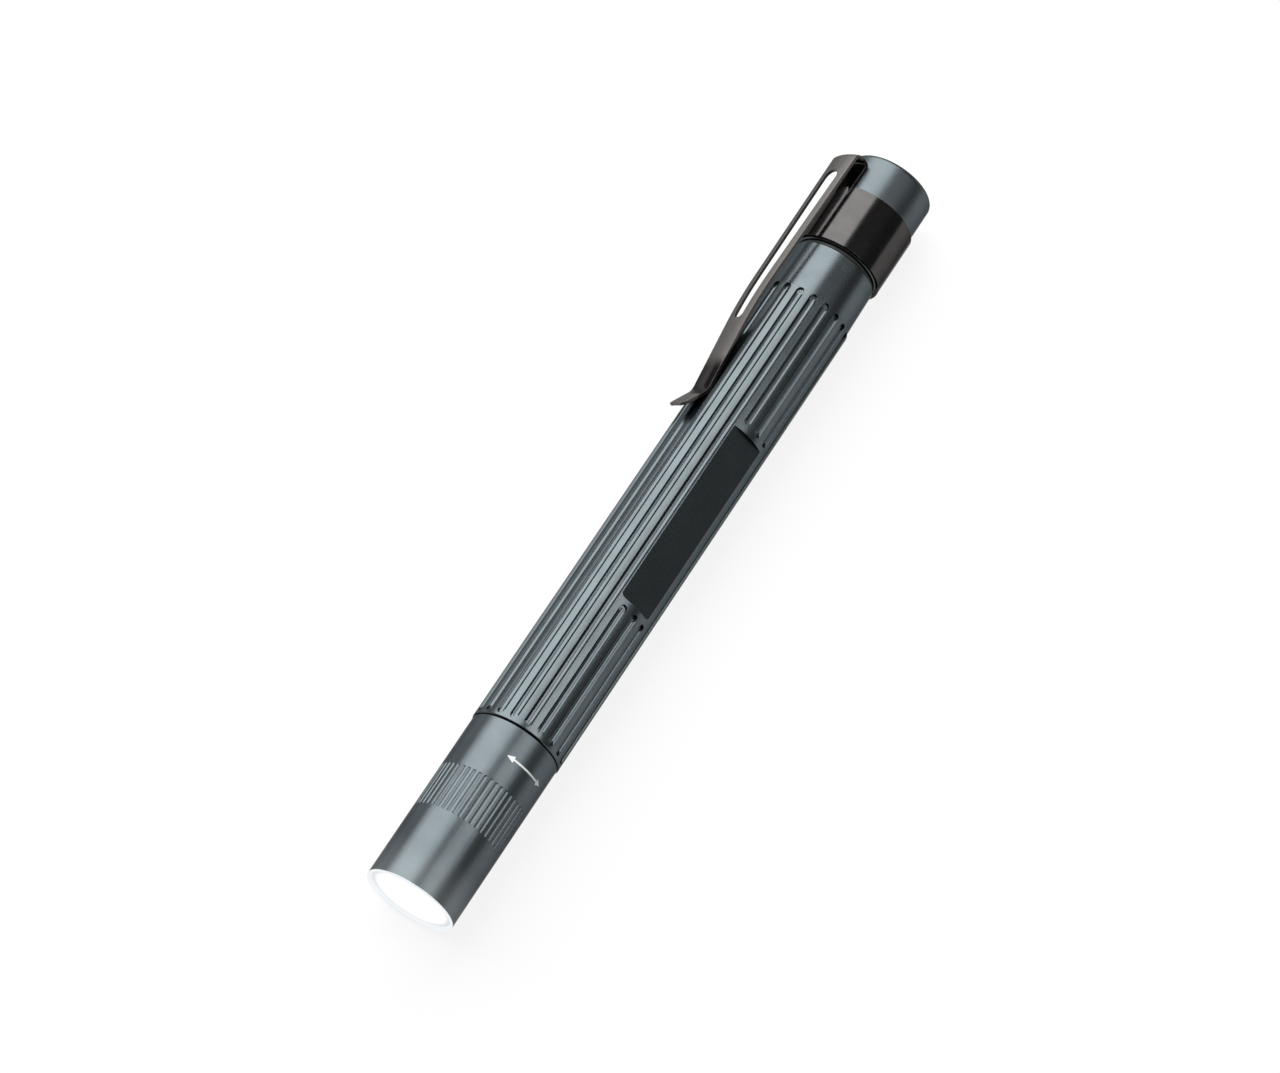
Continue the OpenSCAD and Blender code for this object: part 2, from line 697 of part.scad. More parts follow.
// Push button: dished face, flange behind the end wall and a plunger towards the switch
module tail_button() {
    dish = 0.25;
    boss_r = guide_r + guide_wall;
    boss_h = 0.5;
    face_r = button_r - 0.6;
    dish_r = (pow(face_r, 2) + pow(dish, 2)) / (2 * dish);
    dish_a = asin(face_r / dish_r);
    color([0.1, 0.1, 0.11])
    turned(concat(
        arc(button_recess + dish - dish_r, 0, dish_r, 0, dish_a, 8),
        [
            [button_recess, button_r - edge], [button_recess + edge, button_r],
            [flange_x, button_r], [flange_x, button_flange_d / 2],
            [spring_seat_x, button_flange_d / 2], [spring_seat_x, boss_r],
            [spring_seat_x + boss_h, boss_r], [spring_seat_x + boss_h, plunger_d / 2],
            [plunger_end_x - edge, plunger_d / 2], [plunger_end_x, plunger_d / 2 - edge], [plunger_end_x, 0]
        ]
    ));
}

// Small seal in the end wall, round the button
module button_oring() {
    color([0.06, 0.06, 0.06])
        seal(button_seal_x, button_r + seat_fit + button_seal_d / 2, button_seal_d / 2);
}

// Return spring between the button's flange and the switch housing
module button_spring() {
    mid_r = (guide_r + guide_wall + pocket_r) / 2;
    color([0.7, 0.71, 0.73])
        coil("button_spring", spring_seat_x, pocket_floor_x, mid_r, mid_r, button_wire_d, 3);
}

// Switch housing: guide for the plunger, pocket for the return spring and a chamber for the dome
module switch_housing() {
    chamber_x = pocket_floor_x + switch_web;
    housing_r = neck_r;
    color([0.13, 0.13, 0.14])
    turned([
        [housing_x, guide_r], [housing_x, guide_r + guide_wall],
        [pocket_floor_x, guide_r + guide_wall], [pocket_floor_x, pocket_r], [housing_x, pocket_r],
        [housing_x, housing_r], [contact_x, housing_r], [contact_x, pocket_r],
        [chamber_x, pocket_r], [chamber_x, guide_r]
    ]);
}

// Snap dome that the plunger presses on to the contact
module switch_dome() {
    dome_ball = (pow(dome_r, 2) + pow(dome_rise, 2)) / (2 * dome_rise);
    half = asin(dome_r / dome_ball);
    centre_x = contact_x - dome_rise + dome_ball;
    steps = 8;
    inner = acos((centre_x - contact_x) / (dome_ball - dome_t));
    color([0.8, 0.8, 0.82])
    turned(concat(
        arc(centre_x, 0, dome_ball, 180, 180 - half, steps),
        arc(centre_x, 0, dome_ball - dome_t, 180 - inner, 180, steps)
    ));
}

// Contact disc between the switch and the tail spring
module switch_contact() {
    color([0.85, 0.7, 0.35]) disc(contact_x, contact_t, neck_r - face_gap);
}

// Screwed ring that holds the switch in the cap, with two slots for a pin spanner
module switch_ring() {
    color([0.85, 0.7, 0.35])
    difference() {
        ring(ring_x, ring_len, ring_bore_r, neck_r);
        translate([ring_x + ring_len / 2, -neck_r, -spanner_w / 2]) cube([ring_len, 2 * neck_r, spanner_w]);
    }
}

// Tail spring between the contact disc and the rear cell
module tail_spring() {
    color([0.78, 0.79, 0.8])
        coil("tail_spring", ring_x, cells_x,
            tail_spring_r, tail_spring_r - tail_spring_taper, tail_wire_d, 5);
}

barrel();
tail_oring();
focus_oring();
head_sleeve();
lens();
lens_gasket();
led_pill();
led_board();
led_emitter();
led_dome();
led_leads();
driver_board();
driver_components();
driver_insulator();
driver_spring();
cell_front();
cell_rear();
pocket_clip();
tail_cap();
tail_button();
button_oring();
button_spring();
switch_housing();
switch_dome();
switch_contact();
switch_ring();
tail_spring();
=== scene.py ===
"""Dresses the penlight's solids, adds its thread, mark and moving spring, and lights it."""

from __future__ import annotations

import logging
import math
from dataclasses import dataclass, field
from enum import Enum

import bmesh
import bpy
from mathutils import Matrix, Vector

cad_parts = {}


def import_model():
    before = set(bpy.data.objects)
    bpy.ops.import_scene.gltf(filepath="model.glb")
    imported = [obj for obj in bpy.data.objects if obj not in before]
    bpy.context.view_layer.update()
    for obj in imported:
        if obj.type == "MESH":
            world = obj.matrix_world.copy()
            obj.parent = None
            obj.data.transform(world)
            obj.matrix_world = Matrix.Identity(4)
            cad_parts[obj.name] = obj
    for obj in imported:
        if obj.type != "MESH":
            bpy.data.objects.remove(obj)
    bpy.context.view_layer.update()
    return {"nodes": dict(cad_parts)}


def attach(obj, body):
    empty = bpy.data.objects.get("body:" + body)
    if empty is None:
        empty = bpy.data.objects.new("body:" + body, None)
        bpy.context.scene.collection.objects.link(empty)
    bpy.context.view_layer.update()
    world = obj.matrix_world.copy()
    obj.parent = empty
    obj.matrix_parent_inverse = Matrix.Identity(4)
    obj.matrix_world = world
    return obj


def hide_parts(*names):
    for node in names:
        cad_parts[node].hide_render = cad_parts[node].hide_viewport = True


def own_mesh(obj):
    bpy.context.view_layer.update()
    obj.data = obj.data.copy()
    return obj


LOG = logging.getLogger("penlight")
MM = 0.001

Colour = tuple[float, float, float]

AXIS = (1.0, 0.0, 0.0)
WHITE: Colour = (1.0, 1.0, 1.0)
LAMP_WHITE: Colour = (0.97, 0.985, 1.0)
NOISE_LOW = 0.3
NOISE_HIGH = 0.7
GRAIN_DETAIL = 2.0
EDGE_SAMPLES = 6
WELD = 1e-7
CUT_SLACK = 1e-8


class Body(Enum):
    """The rigid bodies that the added pieces ride on."""

    BARREL = "barrel"
    HEAD = "head"
    TAIL = "tail"


class NodeGraph:
    """A short-hand for wiring one node tree."""

    def __init__(self, tree: bpy.types.NodeTree) -> None:
        """Empties the tree.

        Args:
            tree: The node tree to fill.
        """
        self.tree = tree
        tree.nodes.clear()

    def add(self, kind: str, **values: object) -> bpy.types.Node:
        """Adds a node and sets its properties.

        Args:
            kind: The node's type name, without its ShaderNode prefix.
            values: Properties of the node.

        Returns:
            The new node.
        """
        node = self.tree.nodes.new("ShaderNode" + kind)
        for key, value in values.items():
            setattr(node, key, value)
        return node

    def link(self, source: bpy.types.NodeSocket, target: bpy.types.NodeSocket) -> None:
        """Joins an output to an input."""
        self.tree.links.new(source, target)

    def noise(
        self, place: bpy.types.NodeSocket, scale: float, detail: float = 3.0,
    ) -> bpy.types.NodeSocket:
        """Adds a noise texture.

        Args:
            place: Coordinates for the noise.
            scale: Waves per metre.
            detail: Octaves.

        Returns:
            The noise's value, from 0 to 1.
        """
        texture = self.add("TexNoise")
        texture.inputs["Scale"].default_value = scale
        texture.inputs["Detail"].default_value = detail
        self.link(place, texture.inputs["Vector"])
        return texture.outputs["Fac"]

    def mapped(
        self, value: bpy.types.NodeSocket, start: float, end: float, low: float, high: float,
        smooth: bool = False,
    ) -> bpy.types.NodeSocket:
        """Maps a number from one span to another, and holds it there.

        Args:
            value: The number.
            start: The number that gives low.
            end: The number that gives high.
            low: The result at the start.
            high: The result at the end.
            smooth: Whether the change is eased at both ends.

        Returns:
            The mapped number.
        """
        ranged = self.add("MapRange", clamp=True)
        if smooth:
            ranged.interpolation_type = "SMOOTHSTEP"
        ranged.inputs["From Min"].default_value = start
        ranged.inputs["From Max"].default_value = end
        ranged.inputs["To Min"].default_value = low
        ranged.inputs["To Max"].default_value = high
        self.link(value, ranged.inputs["Value"])
        return ranged.outputs["Result"]

    def span(self, value: bpy.types.NodeSocket, low: float, high: float) -> bpy.types.NodeSocket:
        """Maps the middle of a noise on to a span of numbers.

        Args:
            value: The noise.
            low: The result where the noise is low.
            high: The result where it is high.

        Returns:
            The mapped number.
        """
        return self.mapped(value, NOISE_LOW, NOISE_HIGH, low, high)

    def ramp(
        self, value: bpy.types.NodeSocket, start: float, end: float, top: float = 1.0,
    ) -> bpy.types.NodeSocket:
        """Rises smoothly from 0 as a number goes from start to end.

        Args:
            value: The number.
            start: Where the rise starts.
            end: Where it ends.
            top: The result at the end.

        Returns:
            The result, from 0 to top.
        """
        return self.mapped(value, start, end, 0.0, top, smooth=True)

    def outward(self, place: bpy.types.NodeSocket) -> bpy.types.NodeSocket:
        """Takes the part of a place that lies across the light's axis.

        Args:
            place: Object coordinates.

        Returns:
            The vector from the axis to the place.
        """
        across = self.add("VectorMath", operation="MULTIPLY")
        across.inputs[1].default_value = (0.0, 1.0, 1.0)
        self.link(place, across.inputs[0])
        return across.outputs["Vector"]

    def radius(self, place: bpy.types.NodeSocket) -> bpy.types.NodeSocket:
        """Measures the distance from the light's axis.

        Args:
            place: Object coordinates.

        Returns:
            The distance, in metres.
        """
        length = self.add("VectorMath", operation="LENGTH")
        self.link(self.outward(place), length.inputs[0])
        return length.outputs["Value"]

    def tint(
        self, factor: bpy.types.NodeSocket, base: bpy.types.NodeSocket, colour: Colour,
    ) -> bpy.types.NodeSocket:
        """Mixes a plain colour into a varied one.

        Args:
            factor: How much of the plain colour, from 0 to 1.
            base: The varied colour.
            colour: The plain colour.

        Returns:
            The mixed colour.
        """
        mix = self.add("Mix", data_type="RGBA")
        mix.inputs["B"].default_value = (*colour, 1.0)
        self.link(factor, mix.inputs["Factor"])
        self.link(base, mix.inputs["A"])
        return mix.outputs["Result"]

    def tones(
        self, factor: bpy.types.NodeSocket, first: Colour, second: Colour,
    ) -> bpy.types.NodeSocket:
        """Mixes two colours by a factor.

        Args:
            factor: From 0 to 1.
            first: The colour at 0.
            second: The colour at 1.

        Returns:
            The mixed colour.
        """
        mix = self.add("Mix", data_type="RGBA")
        mix.inputs["A"].default_value = (*first, 1.0)
        mix.inputs["B"].default_value = (*second, 1.0)
        self.link(factor, mix.inputs["Factor"])
        return mix.outputs["Result"]

    def bump(self, height: bpy.types.NodeSocket, depth: float) -> bpy.types.Node:
        """Adds a bump of some depth.

        Args:
            height: From 0 to 1.
            depth: Height of the bump at 1, in metres.

        Returns:
            The bump node.
        """
        node = self.add("Bump")
        node.inputs["Strength"].default_value = 1.0
        node.inputs["Distance"].default_value = depth
        self.link(height, node.inputs["Height"])
        return node


@dataclass(frozen=True)
class Finish:
    """A finish whose tone and roughness vary a little, with a fine grain."""

    name: str
    dark: Colour
    light: Colour
    metallic: float = 0.0
    roughness: tuple[float, float] = (0.4, 0.5)
    patch_scale: float = 350.0
    grain_scale: float = 6000.0
    grain_depth: float = 0.000004
    coat: float = 0.0

    def material(self) -> bpy.types.Material:
        """Makes the material, or gives the one that is already made.

        Returns:
            The material of this finish.
        """
        made = bpy.data.materials.get(self.name)
        if made is not None:
            return made
        material = bpy.data.materials.new(self.name)
        material.use_nodes = True
        graph = NodeGraph(material.node_tree)
        shader = graph.add("BsdfPrincipled")
        output = graph.add("OutputMaterial")
        graph.link(shader.outputs["BSDF"], output.inputs["Surface"])
        shader.inputs["Metallic"].default_value = self.metallic
        shader.inputs["Coat Weight"].default_value = self.coat
        place = graph.add("TexCoord").outputs["Object"]
        self.paint(graph, shader, place)
        return material

    def paint(self, graph: NodeGraph, shader: bpy.types.Node, place: bpy.types.NodeSocket) -> None:
        """Wires tone, roughness and grain into the shader.

        Args:
            graph: The material's nodes.
            shader: The shader to feed.
            place: Object coordinates.
        """
        patch = graph.noise(place, self.patch_scale)
        grain = graph.noise(place, self.grain_scale, GRAIN_DETAIL)
        tone = graph.tones(graph.span(patch, 0.0, 1.0), self.dark, self.light)
        graph.link(tone, shader.inputs["Base Color"])
        graph.link(graph.span(grain, *self.roughness), shader.inputs["Roughness"])
        graph.link(graph.bump(grain, self.grain_depth).outputs["Normal"], shader.inputs["Normal"])


@dataclass(frozen=True)
class AnodisedFinish(Finish):
    """Satin anodised metal, with its edges broken and paler: partly edge wear, partly a painted
    highlight.
    """

    metallic: float = 1.0
    roughness: tuple[float, float] = (0.31, 0.39)
    patch_scale: float = 260.0
    grain_scale: float = 9000.0
    grain_depth: float = 0.0000016
    edge_radius: float = 0.00012
    wear_and_highlight_edge: Colour = (0.17, 0.195, 0.205)
    wear_highlight_from: float = 0.98
    wear_highlight_to: float = 0.86
    wear_highlight_most: float = 0.35
    glancing: Colour = (0.38, 0.38, 0.38)

    def paint(self, graph: NodeGraph, shader: bpy.types.Node, place: bpy.types.NodeSocket) -> None:
        """Wires tone, paler edges of wear and painted highlight, roughness and blasted grain into
        the shader.

        Args:
            graph: The material's nodes.
            shader: The shader to feed.
            place: Object coordinates.
        """
        shader.inputs["Specular Tint"].default_value = (*self.glancing, 1.0)
        grain = graph.noise(place, self.grain_scale, GRAIN_DETAIL)
        edge = graph.add("Bevel", samples=EDGE_SAMPLES)
        edge.inputs["Radius"].default_value = self.edge_radius
        flat = graph.add("NewGeometry")
        along = graph.add("VectorMath", operation="DOT_PRODUCT")
        graph.link(edge.outputs["Normal"], along.inputs[0])
        graph.link(flat.outputs["Normal"], along.inputs[1])
        # Paler broken edges: partly wear, partly a painted highlight along each edge.
        edge_wear_highlight = graph.mapped(along.outputs["Value"], self.wear_highlight_from, self.wear_highlight_to, 0.0, self.wear_highlight_most)
        wear_and_highlight_tinted = graph.tint(edge_wear_highlight, self.colour(graph, place), self.wear_and_highlight_edge)
        graph.link(wear_and_highlight_tinted, shader.inputs["Base Color"])
        graph.link(self.gloss(graph, place, grain), shader.inputs["Roughness"])
        bump = graph.bump(grain, self.grain_depth)
        graph.link(edge.outputs["Normal"], bump.inputs["Normal"])
        graph.link(bump.outputs["Normal"], shader.inputs["Normal"])

    def colour(self, graph: NodeGraph, place: bpy.types.NodeSocket) -> bpy.types.NodeSocket:
        """Varies the tone in soft patches.

        Args:
            graph: The material's nodes.
            place: Object coordinates.

        Returns:
            The colour away from the edges.
        """
        patch = graph.noise(place, self.patch_scale)
        return graph.tones(graph.span(patch, 0.0, 1.0), self.dark, self.light)

    def gloss(
        self, graph: NodeGraph, place: bpy.types.NodeSocket, grain: bpy.types.NodeSocket,
    ) -> bpy.types.NodeSocket:
        """Varies the roughness with the grain.

        Args:
            graph: The material's nodes.
            place: Object coordinates.
            grain: The grain's noise.

        Returns:
            The roughness.
        """
        return graph.span(grain, *self.roughness)


@dataclass(frozen=True)
class FlutedFinish(AnodisedFinish):
    """Anodised metal with painted shade on the sloping sides of its flutes."""

    wall_shade: Colour = (0.058, 0.069, 0.074)
    wall_shade_from: float = 0.9
    wall_shade_to: float = 0.6

    def colour(self, graph: NodeGraph, place: bpy.types.NodeSocket) -> bpy.types.NodeSocket:
        """Paints shade on what doesn't face straight out from the axis.

        Args:
            graph: The material's nodes.
            place: Object coordinates.

        Returns:
            The colour away from the edges.
        """
        facing = graph.add(
            "VectorTransform", vector_type="NORMAL", convert_from="WORLD", convert_to="OBJECT",
        )
        graph.link(graph.add("NewGeometry").outputs["Normal"], facing.inputs["Vector"])
        out = graph.add("VectorMath", operation="NORMALIZE")
        graph.link(graph.outward(place), out.inputs[0])
        slope = graph.add("VectorMath", operation="DOT_PRODUCT")
        graph.link(facing.outputs["Vector"], slope.inputs[0])
        graph.link(out.outputs["Vector"], slope.inputs[1])
        # Painted shade: the more a flute's side slopes, the more of the dark wall_shade colour.
        wall_shade_mask = graph.mapped(slope.outputs["Value"], self.wall_shade_from, self.wall_shade_to, 0.0, 1.0)
        return graph.tint(wall_shade_mask, super().colour(graph, place), self.wall_shade)


@dataclass(frozen=True)
class ClipFinish(AnodisedFinish):
    """Dark plate that is polished on the band and brushed along the arm."""

    arm_dark: Colour = (0.130, 0.124, 0.119)
    arm_light: Colour = (0.160, 0.153, 0.147)
    arm_roughness: tuple[float, float] = (0.42, 0.52)
    arm_inner_r: float = 0.0088
    arm_blend: float = 0.0004
    brush: tuple[float, float, float] = (120.0, 4200.0, 4200.0)

    def on_arm(self, graph: NodeGraph, place: bpy.types.NodeSocket) -> bpy.types.NodeSocket:
        """Finds the arm, which stands further from the axis than the band.

        Args:
            graph: The material's nodes.
            place: Object coordinates.

        Returns:
            1 on the arm and 0 on the band.
        """
        return graph.ramp(graph.radius(place), self.arm_inner_r, self.arm_inner_r + self.arm_blend)

    def colour(self, graph: NodeGraph, place: bpy.types.NodeSocket) -> bpy.types.NodeSocket:
        """Mixes the band's tone and the arm's brushed tone.

        Args:
            graph: The material's nodes.
            place: Object coordinates.

        Returns:
            The colour away from the edges.
        """
        lines = graph.add("Mapping")
        lines.inputs["Scale"].default_value = self.brush
        graph.link(place, lines.inputs["Vector"])
        strokes = graph.noise(lines.outputs["Vector"], 1.0)
        mix = graph.add("Mix", data_type="RGBA")
        graph.link(self.on_arm(graph, place), mix.inputs["Factor"])
        graph.link(super().colour(graph, place), mix.inputs["A"])
        brushed = graph.tones(graph.span(strokes, 0.0, 1.0), self.arm_dark, self.arm_light)
        graph.link(brushed, mix.inputs["B"])
        return mix.outputs["Result"]

    def gloss(
        self, graph: NodeGraph, place: bpy.types.NodeSocket, grain: bpy.types.NodeSocket,
    ) -> bpy.types.NodeSocket:
        """Keeps the band glossy and the arm satin.

        Args:
            graph: The material's nodes.
            place: Object coordinates.
            grain: The grain's noise.

        Returns:
            The roughness.
        """
        mix = graph.add("Mix", data_type="FLOAT")
        graph.link(self.on_arm(graph, place), mix.inputs["Factor"])
        graph.link(graph.span(grain, *self.roughness), mix.inputs["A"])
        graph.link(graph.span(grain, *self.arm_roughness), mix.inputs["B"])
        return mix.outputs["Result"]


@dataclass(frozen=True)
class LitRimFinish(AnodisedFinish):
    """Anodised metal with painted glow on its front rim and a faint painted glow towards the front,
    for the spill of the lamp behind the lens.
    """

    rim_from: float = 0.14600
    rim_to: float = 0.14615
    rim_r: float = 0.0076
    rim_slant: float = 3.0
    painted_rim_glow: float = 0.80
    painted_front_glow_from: float = 0.1370
    painted_front_glow: float = 0.05

    def paint(self, graph: NodeGraph, shader: bpy.types.Node, place: bpy.types.NodeSocket) -> None:
        """Adds a painted glow on the front rim, and a faint painted glow along the head towards it,
        to the anodised finish.

        Args:
            graph: The material's nodes.
            shader: The shader to feed.
            place: Object coordinates.
        """
        super().paint(graph, shader, place)
        # Painted light: the metal itself emits a faint glow towards the front and a brighter glow
        # on the front rim.
        parts = graph.add("SeparateXYZ")
        graph.link(place, parts.inputs["Vector"])
        painted_front_glow_ramp = graph.ramp(parts.outputs["X"], self.painted_front_glow_from, self.rim_from, self.painted_front_glow)
        inward = graph.add("Math", operation="SUBTRACT")
        inward.inputs[0].default_value = self.rim_r
        graph.link(graph.radius(place), inward.inputs[1])
        front = graph.add("Math", operation="MULTIPLY_ADD")
        front.inputs[1].default_value = self.rim_slant
        graph.link(inward.outputs["Value"], front.inputs[0])
        graph.link(parts.outputs["X"], front.inputs[2])
        rim = graph.ramp(front.outputs["Value"], self.rim_from, self.rim_to, self.painted_rim_glow)
        both = graph.add("Math", operation="ADD")
        graph.link(painted_front_glow_ramp, both.inputs[0])
        graph.link(rim, both.inputs[1])
        shader.inputs["Emission Color"].default_value = (*LAMP_WHITE, 1.0)
        graph.link(both.outputs["Value"], shader.inputs["Emission Strength"])


@dataclass(frozen=True)
class TurnedFinish(Finish):
    """Bare metal with the fine rings that a lathe leaves."""

    ring_scale: float = 1400.0
    wobble: float = 0.4

    def paint(self, graph: NodeGraph, shader: bpy.types.Node, place: bpy.types.NodeSocket) -> None:
        """Wires tone, roughness and turning rings into the shader.

        Args:
            graph: The material's nodes.
            shader: The shader to feed.
            place: Object coordinates.
        """
        patch = graph.noise(place, self.patch_scale)
        rings = graph.add("TexWave", wave_type="BANDS", bands_direction="X")
        rings.inputs["Scale"].default_value = self.ring_scale
        rings.inputs["Distortion"].default_value = self.wobble
        graph.link(place, rings.inputs["Vector"])
        tone = graph.tones(graph.span(patch, 0.0, 1.0), self.dark, self.light)
        graph.link(tone, shader.inputs["Base Color"])
        graph.link(graph.span(patch, *self.roughness), shader.inputs["Roughness"])
        ridges = graph.bump(rings.outputs["Fac"], self.grain_depth)
        graph.link(ridges.outputs["Normal"], shader.inputs["Normal"])


@dataclass(frozen=True)
class GlowFinish(Finish):
    """Clear plastic that is filled with the light behind it and dims towards its edge."""

    clear: Colour = (0.12, 0.125, 0.13)
    glow: float = 0.97
    dim: float = 0.0
    dim_from: float = 0.0052
    dim_to: float = 0.0071
    ring_scale: float = 260.0
    ring_depth: float = 0.05

    def paint(self, graph: NodeGraph, shader: bpy.types.Node, place: bpy.types.NodeSocket) -> None:
        """Wires a soft glow with faint moulded rings into the shader.

        Args:
            graph: The material's nodes.
            shader: The shader to feed.
            place: Object coordinates.
        """
        patch = graph.noise(place, self.patch_scale)
        tone = graph.tones(graph.span(patch, 0.0, 1.0), self.dark, self.light)
        shader.inputs["Base Color"].default_value = (*self.clear, 1.0)
        graph.link(tone, shader.inputs["Emission Color"])
        rings = graph.add("TexWave", wave_type="RINGS", rings_direction="X")
        rings.inputs["Scale"].default_value = self.ring_scale
        graph.link(place, rings.inputs["Vector"])
        ripple = graph.add("Math", operation="MULTIPLY_ADD")
        ripple.inputs[1].default_value = self.ring_depth
        graph.link(rings.outputs["Fac"], ripple.inputs[0])
        edge = graph.ramp(graph.radius(place), self.dim_from, self.dim_to, self.dim)
        graph.link(edge, ripple.inputs[2])
        left = graph.add("Math", operation="SUBTRACT")
        left.inputs[0].default_value = self.glow
        graph.link(ripple.outputs["Value"], left.inputs[1])
        graph.link(left.outputs["Value"], shader.inputs["Emission Strength"])
        graph.link(graph.span(patch, *self.roughness), shader.inputs["Roughness"])


# All anodised finishes and the clip paint their broken edges paler: partly wear, partly painted
# highlight.
ANODISED = AnodisedFinish("anodised_gunmetal", (0.090, 0.106, 0.113), (0.104, 0.122, 0.130))
# The flutes get painted shade on their sloping sides.
FLUTED = FlutedFinish(
    "anodised_flutes", ANODISED.dark, ANODISED.light, roughness=(0.25, 0.31), edge_radius=0.00005,
    wear_highlight_most=0.12, grain_depth=0.0000008,
)
LIT_HEAD = LitRimFinish("anodised_lit_head", ANODISED.dark, ANODISED.light, wear_highlight_most=0.1)
BLACK_NICKEL = ClipFinish(
    "black_nickel_plate", (0.056, 0.054, 0.053), (0.067, 0.064, 0.063), roughness=(0.14, 0.20),
    patch_scale=420.0, grain_scale=5000.0, grain_depth=0.0000004, edge_radius=0.00008,
    wear_and_highlight_edge=(0.13, 0.123, 0.12),
)
SEAL_RUBBER = Finish(
    "seal_rubber", (0.012, 0.012, 0.012), (0.020, 0.020, 0.020),
    roughness=(0.45, 0.6),
)
BUTTON_RUBBER = Finish(
    "button_rubber", (0.018, 0.018, 0.019), (0.028, 0.028, 0.030), roughness=(0.55, 0.7),
    grain_scale=4500.0, grain_depth=0.00001,
)
LIT_LENS = GlowFinish("lit_lens", LAMP_WHITE, WHITE, roughness=(0.04, 0.07), dim=0.42)
DOME_SILICONE = GlowFinish(
    "dome_silicone", (1.0, 0.93, 0.70), (1.0, 0.97, 0.85),
    roughness=(0.08, 0.12), glow=0.8,
)
HEAT_SINK = TurnedFinish(
    "turned_heat_sink", (0.60, 0.61, 0.62), (0.70, 0.71, 0.72), metallic=1.0,
    roughness=(0.22, 0.32),
)
BRASS = TurnedFinish(
    "turned_brass", (0.62, 0.45, 0.19), (0.74, 0.56, 0.26), metallic=1.0, roughness=(0.2, 0.3),
    grain_depth=0.000003,
)
SPRING_WIRE = Finish(
    "spring_wire", (0.50, 0.51, 0.53), (0.62, 0.63, 0.65),
    metallic=1.0, roughness=(0.18, 0.28),
)
BOARD_WHITE = Finish("board_white", (0.74, 0.75, 0.72), (0.84, 0.85, 0.82), roughness=(0.3, 0.4))
BOARD_GREEN = Finish(
    "board_green", (0.03, 0.13, 0.06), (0.05, 0.19, 0.09),
    roughness=(0.28, 0.38), coat=0.3,
)
EMITTER = Finish("emitter_ceramic", (0.70, 0.64, 0.40), (0.80, 0.74, 0.48), roughness=(0.4, 0.5))
BLACK_PLASTIC = Finish(
    "black_plastic", (0.016, 0.016, 0.017), (0.026, 0.026, 0.028),
    roughness=(0.35, 0.5),
)
LEAD_COVER = Finish("lead_cover", (0.38, 0.02, 0.015), (0.48, 0.035, 0.025), roughness=(0.35, 0.45))
CELL_CAN = Finish(
    "cell_can", (0.50, 0.51, 0.53), (0.60, 0.61, 0.63), metallic=1.0, roughness=(0.22, 0.32),
    grain_scale=3000.0,
)
WHITE_PRINT = Finish(
    "white_print", (0.84, 0.86, 0.86), (0.92, 0.93, 0.93), roughness=(0.4, 0.5),
    grain_depth=0.000002,
)


def dress(nodes: dict[str, bpy.types.Object], names: tuple[str, ...], finish: Finish) -> None:
    """Gives some of the solids a finish.

    Args:
        nodes: The solids by name.
        names: Which of them.
        finish: What they are finished with.
    """
    for name in names:
        mesh = nodes[name].data
        mesh.materials.clear()
        mesh.materials.append(finish.material())
        LOG.info("%s: %s", name, finish.name)


def finish_piece(
    shape: bmesh.types.BMesh, name: str, finish: Finish, body: Body,
) -> bpy.types.Object:
    """Makes an object of a finished shape and hangs it on its body.

    Args:
        shape: The shape, in metres, in the row's frame. It is used up.
        name: The piece's name.
        finish: What it is finished with.
        body: The body it rides on.

    Returns:
        The new object.
    """
    bmesh.ops.remove_doubles(shape, verts=shape.verts[:], dist=WELD)
    bmesh.ops.recalc_face_normals(shape, faces=shape.faces[:])
    mesh = bpy.data.meshes.new(name)
    shape.to_mesh(mesh)
    shape.free()
    mesh.materials.append(finish.material())
    piece = bpy.data.objects.new(name, mesh)
    bpy.context.scene.collection.objects.link(piece)
    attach(piece, body.value)
    LOG.info("%s: %d faces", name, len(mesh.polygons))
    return piece


@dataclass
class BarrelTube:
    """The ribbed barrel with its tail seal and the screw thread of its tail neck."""

    thread_start: float = 11.9 * MM
    thread_pitch: float = 1.5 * MM
    thread_turns: int = 2
    root_r: float = 5.86 * MM
    crest_r: float = 6.17 * MM
    ridge_half: float = 0.45 * MM
    steps_per_turn: int = 48

    def dress(self, nodes: dict[str, bpy.types.Object]) -> None:
        """Finishes the tube and its seal."""
        dress(nodes, ("barrel",), FLUTED)
        dress(nodes, ("tail_oring",), SEAL_RUBBER)

    def build_thread(self) -> bpy.types.Object:
        """Winds the ridge of the tail thread.

        Returns:
            The thread, riding on the barrel.
        """
        shape = bmesh.new()
        corners = [
            shape.verts.new((self.thread_start - self.ridge_half, 0.0, self.root_r)),
            shape.verts.new((self.thread_start, 0.0, self.crest_r)),
            shape.verts.new((self.thread_start + self.ridge_half, 0.0, self.root_r)),
        ]
        section = shape.faces.new(corners)
        steps = self.steps_per_turn * self.thread_turns
        bmesh.ops.spin(
            shape, geom=[section], cent=(0.0, 0.0, 0.0), axis=AXIS,
            dvec=(self.thread_pitch / self.steps_per_turn, 0.0, 0.0),
            angle=math.tau * self.thread_turns, steps=steps, use_merge=False,
        )
        return finish_piece(shape, "tail_thread", ANODISED, Body.BARREL)


